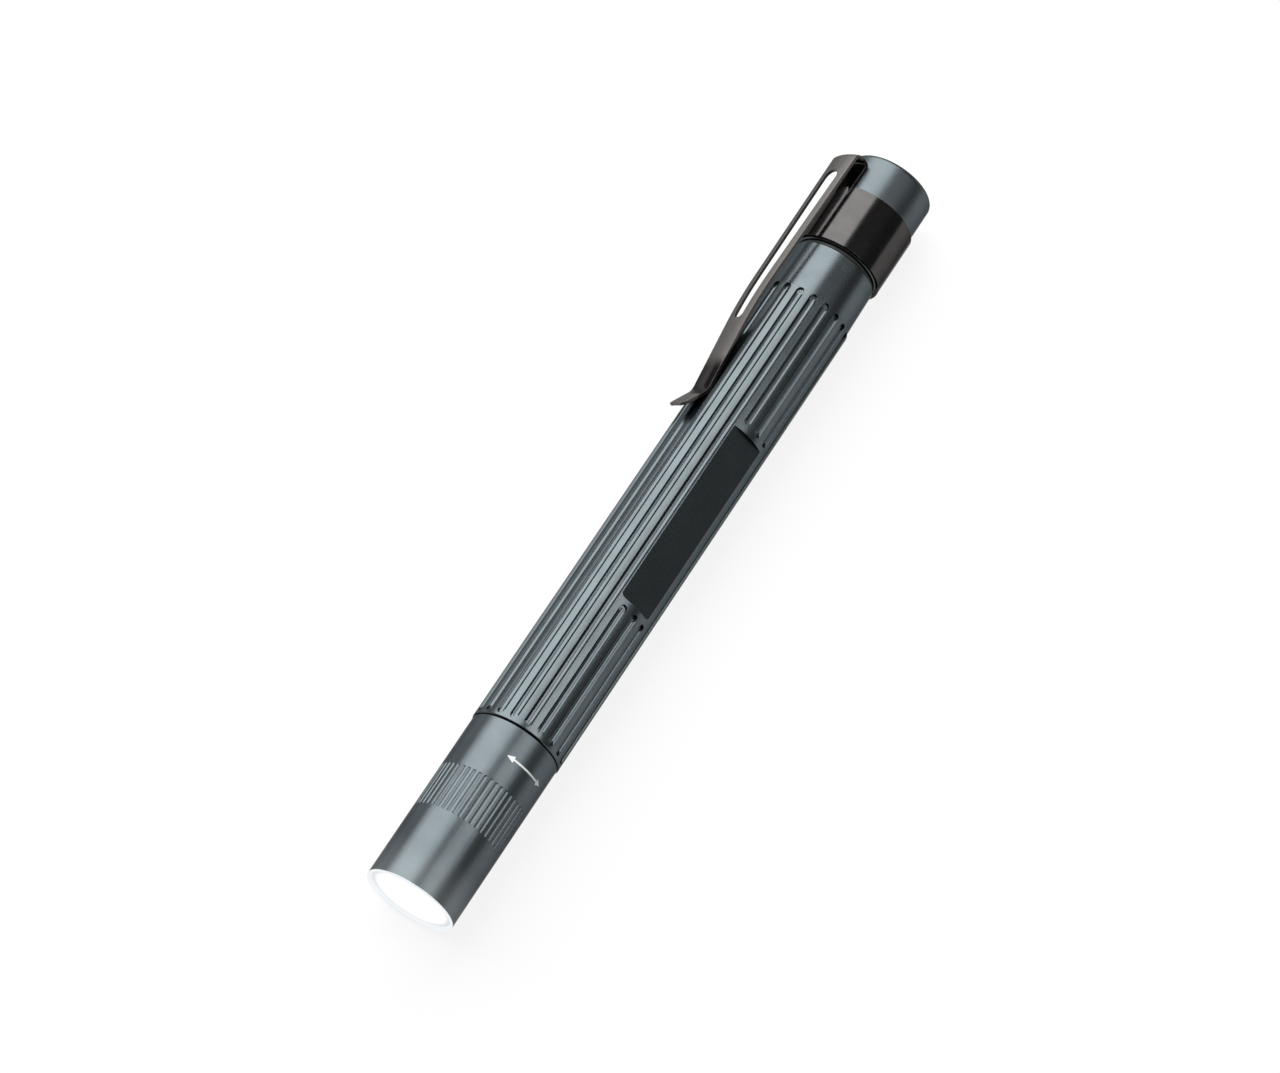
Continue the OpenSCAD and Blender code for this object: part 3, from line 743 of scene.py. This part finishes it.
@dataclass
class FocusHead:
    """The turning head with its lens, seals and the printed mark that says which way it turns."""

    mark_x: float = 120.9 * MM
    mark_r: float = 7.6 * MM
    mark_lift: float = 0.04 * MM
    mark_from_deg: float = 14.0
    mark_to_deg: float = 74.0
    mark_line: float = 0.16 * MM
    mark_barb: float = 0.55 * MM
    mark_tip: float = 1.3 * MM
    mark_cuts: int = 40

    def dress(self, nodes: dict[str, bpy.types.Object]) -> None:
        """Finishes the head, its lens and its seals."""
        dress(nodes, ("head_sleeve",), LIT_HEAD)
        dress(nodes, ("lens",), LIT_LENS)
        dress(nodes, ("focus_oring", "lens_gasket"), SEAL_RUBBER)

    def build_mark(self) -> bpy.types.Object:
        """Prints a two-way arrow round the head.

        Returns:
            The arrow, riding on the head.
        """
        half = self.mark_r * math.radians(self.mark_to_deg - self.mark_from_deg) / 2
        shape = bmesh.new()
        neck = half - self.mark_tip
        outline = [
            (-half, 0.0), (-neck, -self.mark_barb), (-neck, -self.mark_line),
            (neck, -self.mark_line), (neck, -self.mark_barb), (half, 0.0),
            (neck, self.mark_barb), (neck, self.mark_line),
            (-neck, self.mark_line), (-neck, self.mark_barb),
        ]
        shape.faces.new([shape.verts.new((across, along, 0.0)) for across, along in outline])
        for cut in range(1, self.mark_cuts):
            across = half * (2 * cut / self.mark_cuts - 1)
            bmesh.ops.bisect_plane(
                shape, geom=shape.verts[:] + shape.edges[:] + shape.faces[:], dist=CUT_SLACK,
                plane_co=(across, 0.0, 0.0), plane_no=AXIS,
            )
        middle = math.radians(self.mark_from_deg + self.mark_to_deg) / 2
        for vert in shape.verts:
            turn = middle + vert.co.x / self.mark_r
            out = self.mark_r + self.mark_lift
            vert.co = Vector((self.mark_x + vert.co.y, out * math.sin(turn), out * math.cos(turn)))
        return finish_piece(shape, "focus_mark", WHITE_PRINT, Body.HEAD)


@dataclass
class LightEngine:
    """The heat sink with its emitter, driver and cells."""

    def dress(self, nodes: dict[str, bpy.types.Object]) -> None:
        """Finishes everything inside the barrel."""
        dress(nodes, ("led_pill",), HEAT_SINK)
        dress(nodes, ("led_board",), BOARD_WHITE)
        dress(nodes, ("led_emitter",), EMITTER)
        dress(nodes, ("led_dome",), DOME_SILICONE)
        dress(nodes, ("led_leads",), LEAD_COVER)
        dress(nodes, ("driver_board",), BOARD_GREEN)
        dress(nodes, ("driver_components", "driver_insulator"), BLACK_PLASTIC)
        dress(nodes, ("driver_spring",), BRASS)
        dress(nodes, ("cell_front", "cell_rear"), CELL_CAN)


@dataclass
class TailEnd:
    """The tail cap with its switch, and the clip that its band holds."""

    spring_fixed_x: float = 6.0 * MM
    spring_free: float = 3.6 * MM
    press_travel: float = 1.2 * MM
    spring_slack: float = 0.05 * MM

    def dress(self, nodes: dict[str, bpy.types.Object]) -> None:
        """Finishes the cap, the clip and the switch."""
        dress(nodes, ("tail_cap",), ANODISED)
        dress(nodes, ("pocket_clip",), BLACK_NICKEL)
        dress(nodes, ("tail_button",), BUTTON_RUBBER)
        dress(nodes, ("button_oring",), SEAL_RUBBER)
        dress(nodes, ("switch_housing",), BLACK_PLASTIC)
        dress(nodes, ("switch_contact", "switch_ring"), BRASS)
        dress(nodes, ("switch_dome", "button_spring", "tail_spring"), SPRING_WIRE)

    def build_return_spring(self, nodes: dict[str, bpy.types.Object]) -> bpy.types.Object:
        """Makes a copy of the button's spring, which rides on the tail cap in its place.

        Args:
            nodes: The solids by name.

        Returns:
            The spring, riding on the tail cap.
        """
        shape = bmesh.new()
        shape.from_mesh(nodes["button_spring"].data)
        piece = finish_piece(shape, "return_spring", SPRING_WIRE, Body.TAIL)
        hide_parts("button_spring")
        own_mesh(piece)
        return piece


@dataclass
class Softbox:
    """A rectangular lamp that faces the light."""

    name: str
    towards: tuple[float, float, float]
    distance: float
    width: float
    length: float
    radiance: float

    def place(self, aim: Vector) -> bpy.types.Object:
        """Hangs the lamp.

        Args:
            aim: The point it faces.

        Returns:
            The lamp.
        """
        lamp = bpy.data.lights.new(self.name, "AREA")
        lamp.shape = "RECTANGLE"
        lamp.size = self.width
        lamp.size_y = self.length
        lamp.energy = self.radiance * math.pi * self.width * self.length
        holder = bpy.data.objects.new(self.name, lamp)
        bpy.context.scene.collection.objects.link(holder)
        out = Vector(self.towards).normalized()
        along = (Vector(AXIS) - out * out.x).normalized()
        across = along.cross(out)
        turn = Matrix((across, along, out)).transposed().to_4x4()
        holder.matrix_world = Matrix.Translation(aim + out * self.distance) @ turn
        return holder


@dataclass
class Studio:
    """The floor, lamps, world and camera."""

    floor_z: float = -7.9 * MM
    floor_half: float = 6.0
    floor_grey: Colour = (0.12, 0.12, 0.12)
    floor_glow: float = 0.86
    room_level: float = 0.1
    aim: tuple[float, float, float] = (0.073, 0.0, 0.0)
    camera_at: tuple[float, float, float] = (0.38933, 0.18653, 0.71830)
    camera_turn_deg: tuple[float, float, float] = (27.0, 0.0, 121.0)
    focal: float = 145.55
    sensor: float = 36.0
    clip_from: float = 0.01
    clip_to: float = 20.0
    lamps: list[Softbox] = field(default_factory=lambda: [
        Softbox("key_softbox", (-0.389, -0.54, 0.743), 0.62, 0.80, 1.1, 3.8),
        Softbox("fill_softbox", (-0.253, 0.555, 0.793), 0.665, 0.43, 0.19, 4.3),
    ])

    def build_floor(self) -> None:
        """Lays a plain pale floor that keeps the shadow."""
        shape = bmesh.new()
        bmesh.ops.create_grid(shape, x_segments=1, y_segments=1, size=self.floor_half)
        bmesh.ops.translate(shape, verts=shape.verts[:], vec=(self.aim[0], 0.0, self.floor_z))
        mesh = bpy.data.meshes.new("floor")
        shape.to_mesh(mesh)
        shape.free()
        floor = bpy.data.objects.new("floor", mesh)
        bpy.context.scene.collection.objects.link(floor)
        material = bpy.data.materials.new("pale_floor")
        material.use_nodes = True
        graph = NodeGraph(material.node_tree)
        output = graph.add("OutputMaterial")
        paper = graph.add("BsdfDiffuse")
        paper.inputs["Color"].default_value = (*self.floor_grey, 1.0)
        white = graph.add("Emission")
        white.inputs["Color"].default_value = (*WHITE, 1.0)
        white.inputs["Strength"].default_value = self.floor_glow
        lit = graph.add("AddShader")
        graph.link(paper.outputs["BSDF"], lit.inputs[0])
        graph.link(white.outputs["Emission"], lit.inputs[1])
        mix = graph.add("MixShader")
        graph.link(seen_directly(graph), mix.inputs["Fac"])
        graph.link(paper.outputs["BSDF"], mix.inputs[1])
        graph.link(lit.outputs["Shader"], mix.inputs[2])
        graph.link(mix.outputs["Shader"], output.inputs["Surface"])
        mesh.materials.append(material)

    def build_world(self) -> None:
        """Fills the room with dim soft light."""
        world = bpy.data.worlds.new("studio_world")
        bpy.context.scene.world = world
        world.use_nodes = True
        graph = NodeGraph(world.node_tree)
        output = graph.add("OutputWorld")
        room = graph.add("Background")
        room.inputs["Color"].default_value = (*WHITE, 1.0)
        room.inputs["Strength"].default_value = self.room_level
        graph.link(room.outputs["Background"], output.inputs["Surface"])

    def build_camera(self) -> None:
        """Sets the camera at the photo's angle."""
        data = bpy.data.cameras.new("photo_camera")
        data.sensor_fit = "HORIZONTAL"
        data.sensor_width = self.sensor
        data.lens = self.focal
        data.clip_start = self.clip_from
        data.clip_end = self.clip_to
        camera = bpy.data.objects.new("photo_camera", data)
        camera.location = self.camera_at
        camera.rotation_euler = [math.radians(turn) for turn in self.camera_turn_deg]
        bpy.context.scene.collection.objects.link(camera)
        bpy.context.scene.camera = camera

    def build(self) -> None:
        """Sets up the whole studio."""
        self.build_floor()
        self.build_world()
        for lamp in self.lamps:
            lamp.place(Vector(self.aim))
        self.build_camera()
        bpy.context.scene.view_settings.view_transform = "Standard"


def seen_directly(graph: NodeGraph) -> bpy.types.NodeSocket:
    """Finds rays that show the background: from the camera, off a gloss or through glass.

    Args:
        graph: The nodes to add to.

    Returns:
        1 for such a ray, otherwise 0.
    """
    path = graph.add("LightPath")
    either = graph.add("Math", operation="MAXIMUM")
    graph.link(path.outputs["Is Camera Ray"], either.inputs[0])
    graph.link(path.outputs["Is Glossy Ray"], either.inputs[1])
    every = graph.add("Math", operation="MAXIMUM")
    graph.link(either.outputs["Value"], every.inputs[0])
    graph.link(path.outputs["Is Transmission Ray"], every.inputs[1])
    return every.outputs["Value"]


def main() -> None:
    """Loads the solids, dresses them, adds the small pieces and lights the scene."""
    logging.basicConfig(level=logging.INFO, format="%(name)s %(message)s")
    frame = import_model()
    nodes = frame["nodes"]
    barrel = BarrelTube()
    head = FocusHead()
    tail = TailEnd()
    for part in (barrel, head, LightEngine(), tail):
        part.dress(nodes)
    barrel.build_thread()
    head.build_mark()
    tail.build_return_spring(nodes)
    Studio().build()


if __name__ == "__main__":
    main()
